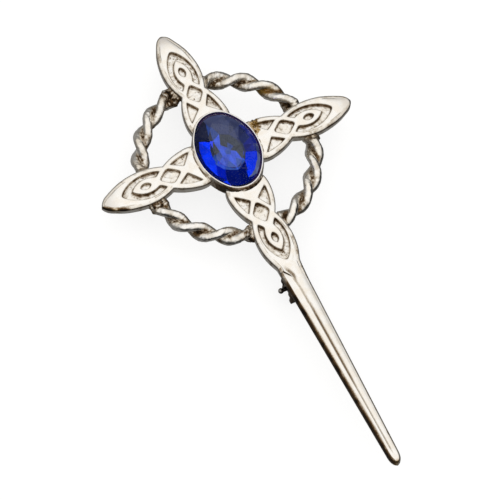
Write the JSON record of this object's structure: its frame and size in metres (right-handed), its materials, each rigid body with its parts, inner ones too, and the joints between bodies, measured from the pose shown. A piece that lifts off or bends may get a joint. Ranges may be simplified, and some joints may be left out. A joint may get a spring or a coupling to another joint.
{
  "type": "kilt pin",
  "caption": "Kilt pin: cast knotwork cross in a roped ring with an oval blue stone, a long tapered shaft, and a needle with a turning safety catch behind.",
  "frame": {"origin": "below the middle of the whole pin, on the plane that its hinge and catch stand on when it lies face up", "axes": "+Z out of the pin's face, +Y along the shaft from its tip towards the upper arm, +X to the right seen from the face"},
  "size_m": [0.058, 0.108, 0.0116],
  "materials": {
    "plated_casting": "bright nickel plate on cast metal, brown-black tarnish in the hollows",
    "blue_glass": "faceted deep blue glass with a foil back",
    "needle_steel": "drawn steel wire",
    "catch_metal": "plated, dulled by tarnish"
  },
  "bodies": {
    "pin": {"casting": "plated_casting", "stone": "blue_glass", "needle": "needle_steel"},
    "catch": {"catch_barrel": "catch_metal"}
  },
  "joints": [
    {"name": "catch_turn", "type": "hinge", "parent": "pin", "child": "catch", "pos_m": [0, -0.0081, 0.0038], "axis": [0, -1, 0], "range_deg": [0, 90]}
  ]
}
